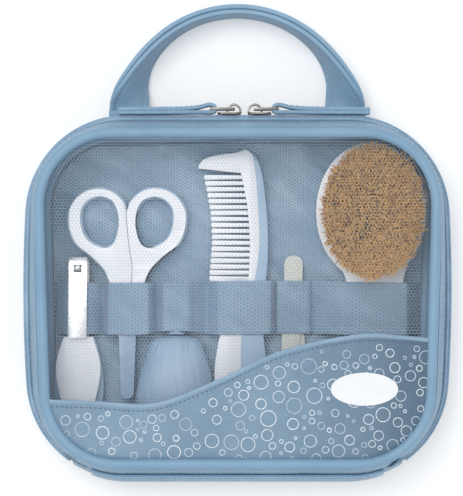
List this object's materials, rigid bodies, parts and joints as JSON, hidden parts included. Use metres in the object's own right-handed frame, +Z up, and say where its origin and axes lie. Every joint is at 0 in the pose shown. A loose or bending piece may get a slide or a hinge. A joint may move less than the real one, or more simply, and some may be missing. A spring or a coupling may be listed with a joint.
{
  "type": "baby grooming kit in zip case",
  "caption": "Zipped soft case with a see-through lid and carry handle, holding comb, brush, scissors, nail clipper, emery boards and a squeeze bulb under an elastic band.",
  "frame": {"origin": "centre of the back panel's rest face, with the case lying on its back", "axes": "+Z up out of the see-through lid, +Y towards the carry handle, +X to the right as seen from the front"},
  "size_m": [0.2018, 0.2261, 0.0455],
  "materials": {
    "leatherette": "soft blue-grey grained leatherette",
    "piping": "smooth blue leatherette welt",
    "lining": "soft blue woven lining",
    "elastic": "blue knitted elastic",
    "tape": "blue woven zipper tape",
    "teeth": "blue moulded zipper teeth",
    "net": "fine blue see-through net",
    "printed_cloth": "satin blue cloth with pale ring print",
    "zip_metal": "polished silver zipper hardware",
    "steel": "polished steel",
    "white_plastic": "glossy white plastic",
    "blue_rubber": "soft pale-blue overmould",
    "guard_plastic": "pale-blue plastic",
    "bulb_rubber": "satin pale-blue soft rubber",
    "emery": "cream abrasive paper on card",
    "bristle": "soft tan bristles"
  },
  "bodies": {
    "base": {"back_panel": "leatherette", "back_piping": "piping", "base_gusset": "leatherette", "base_lining": "lining", "base_tape": "tape", "base_chain": "teeth", "spine_base": "leatherette", "end_tab_left": "leatherette", "end_tab_right": "leatherette", "handle_anchor_left": "leatherette", "handle_anchor_right": "leatherette", "elastic_band": "elastic", "clipper_lower_arm": "steel", "clipper_grip_blue": "blue_rubber", "clipper_grip_white": "white_plastic"},
    "lid": {"lid_gusset": "leatherette", "lid_piping": "piping", "window_net": "net", "bubble_panel": "printed_cloth", "lid_tape": "tape", "lid_chain": "teeth", "spine_lid": "leatherette"},
    "handle": {"carry_handle": "leatherette"},
    "slider_left": {"slider_left": "zip_metal"},
    "slider_right": {"slider_right": "zip_metal"},
    "pull_left": {"pull_link_left": "zip_metal", "pull_tab_left": "leatherette"},
    "pull_right": {"pull_link_right": "zip_metal", "pull_tab_right": "leatherette"},
    "scissors_fixed": {"scissors_left_blue": "blue_rubber", "scissors_left_white": "white_plastic", "scissors_left_blade": "steel", "scissors_rivet": "steel"},
    "scissors_moving": {"scissors_right_blue": "blue_rubber", "scissors_right_white": "white_plastic", "scissors_right_blade": "steel"},
    "blade_guard": {"blade_guard": "guard_plastic"},
    "clipper_jaw": {"clipper_upper_arm": "steel"},
    "clipper_post": {"clipper_post": "steel"},
    "clipper_lever": {"clipper_lever": "steel"},
    "nail_files": {"nail_file_1": "emery", "nail_file_2": "emery", "nail_file_3": "emery"},
    "aspirator": {"aspirator_bulb": "bulb_rubber", "aspirator_nozzle": "guard_plastic"},
    "comb": {"comb_body": "white_plastic", "comb_back": "blue_rubber"},
    "brush": {"brush_back": "blue_rubber", "brush_body": "white_plastic", "brush_bristles": "bristle"}
  },
  "joints": [
    {"name": "lid_hinge", "type": "hinge", "parent": "base", "child": "lid", "pos_m": [0, -0.0873, 0.024], "axis": [1, 0, 0], "range_deg": [0, 180]},
    {"name": "handle_fold", "type": "hinge", "parent": "base", "child": "handle", "pos_m": [0, 0.0875, 0.00996], "axis": [1, 0, 0], "range_deg": [-80, 16]},
    {"name": "zip_left", "type": "slide", "parent": "base", "child": "slider_left", "axis": [-1, 0, 0], "range_m": [0, 0.04]},
    {"name": "zip_right", "type": "slide", "parent": "base", "child": "slider_right", "axis": [1, 0, 0], "range_m": [0, 0.034]},
    {"name": "pull_left_swing", "type": "hinge", "parent": "slider_left", "child": "pull_left", "pos_m": [-0.0017, 0.0886, 0.024], "axis": [0, 0, 1], "range_deg": [-86, 0]},
    {"name": "pull_right_swing", "type": "hinge", "parent": "slider_right", "child": "pull_right", "pos_m": [0.0082, 0.0886, 0.024], "axis": [0, 0, -1], "range_deg": [-86, 0]},
    {"name": "scissors_draw", "type": "slide", "parent": "base", "child": "scissors_fixed", "axis": [0, 1, 0], "range_m": [0, 0.016]},
    {"name": "scissors_open", "type": "hinge", "parent": "scissors_fixed", "child": "scissors_moving", "pos_m": [-0.0526, -0.008, 0.0097], "axis": [0, 0, -1], "range_deg": [0, 5]},
    {"name": "guard_draw", "type": "slide", "parent": "scissors_fixed", "child": "blade_guard", "axis": [0, -1, 0], "range_m": [0, 0.024]},
    {"name": "clipper_jaw_close", "type": "hinge", "parent": "base", "child": "clipper_jaw", "pos_m": [-0.0758, -0.037, 0.0088], "axis": [-1, 0, 0], "range_deg": [0, 1], "stiffness_Nm_per_rad": 0.5},
    {"name": "clipper_post_turn", "type": "hinge", "parent": "base", "child": "clipper_post", "pos_m": [-0.0758, 0.0134, 0.0073], "axis": [0, 0, 1], "range_deg": [-10, 10]},
    {"name": "clipper_lever_press", "type": "hinge", "parent": "clipper_post", "child": "clipper_lever", "pos_m": [-0.0758, 0.0134, 0.0155], "axis": [1, 0, 0], "range_deg": [0, 6], "stiffness_Nm_per_rad": 0.05, "springref_deg": -8.59},
    {"name": "files_draw", "type": "slide", "parent": "base", "child": "nail_files", "axis": [0, 1, 0], "range_m": [0, 0.045]},
    {"name": "aspirator_draw", "type": "slide", "parent": "base", "child": "aspirator", "axis": [0, -1, 0], "range_m": [0, 0.004]},
    {"name": "comb_draw", "type": "slide", "parent": "base", "child": "comb", "axis": [0, 1, 0], "range_m": [0, 0.003]},
    {"name": "brush_draw", "type": "slide", "parent": "base", "child": "brush", "axis": [0, 1, 0], "range_m": [0, 0.002]}
  ],
  "couplings": [
    {"joint": "clipper_jaw_close", "follows": "clipper_lever_press", "ratio": 0.15}
  ]
}
